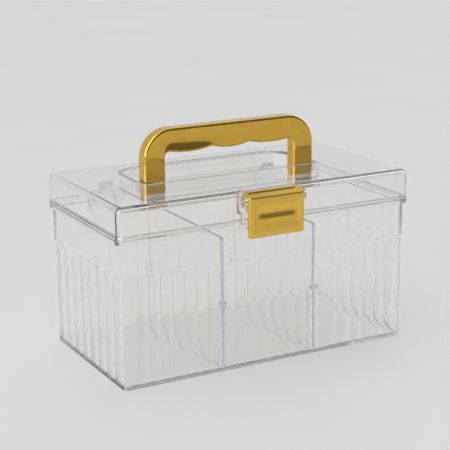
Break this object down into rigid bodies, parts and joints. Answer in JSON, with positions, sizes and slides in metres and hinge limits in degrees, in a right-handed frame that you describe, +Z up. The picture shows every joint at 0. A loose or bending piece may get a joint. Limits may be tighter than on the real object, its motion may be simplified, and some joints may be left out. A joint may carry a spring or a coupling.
{
  "type": "cosmetic organizer box",
  "caption": "Clear carry box for cosmetics with fluted walls, lift-out dividers, a hinged lid, a folding gold handle and a swing latch.",
  "frame": {"origin": "middle of the flat underside that the box stands on, midway along its length and width", "axes": "+Z up, +X along the length, the latch on the -Y side and the hinges on the +Y side"},
  "size_m": [0.2514, 0.1502, 0.1782],
  "materials": {
    "clear_plastic": "clear, polished",
    "gold_plastic": "gold metallised, mirror bright",
    "steel": "drawn wire"
  },
  "bodies": {
    "box": {"box_body": "clear_plastic", "hinge_pin_left": "clear_plastic", "hinge_pin_right": "clear_plastic"},
    "lid": {"lid": "clear_plastic", "handle_pin_left": "steel", "handle_pin_right": "steel", "latch_pin": "steel"},
    "handle": {"handle": "gold_plastic"},
    "latch": {"latch": "gold_plastic"},
    "divider_left": {"divider_left": "clear_plastic"},
    "divider_right": {"divider_right": "clear_plastic"}
  },
  "joints": [
    {"name": "lid_hinge", "type": "hinge", "parent": "box", "child": "lid", "pos_m": [0, 0.0712, 0.114], "axis": [-1, 0, 0], "range_deg": [0, 110]},
    {"name": "handle_fold", "type": "hinge", "parent": "lid", "child": "handle", "pos_m": [0, 0, 0.1317], "axis": [-1, 0, 0], "range_deg": [-18, 90]},
    {"name": "latch_swing", "type": "hinge", "parent": "lid", "child": "latch", "pos_m": [0, -0.07, 0.1314], "axis": [-1, 0, 0], "range_deg": [0, 100]},
    {"name": "divider_left_lift", "type": "slide", "parent": "box", "child": "divider_left", "axis": [0, 0, 1], "range_m": [0, 0.015]},
    {"name": "divider_right_lift", "type": "slide", "parent": "box", "child": "divider_right", "axis": [0, 0, 1], "range_m": [0, 0.015]}
  ]
}
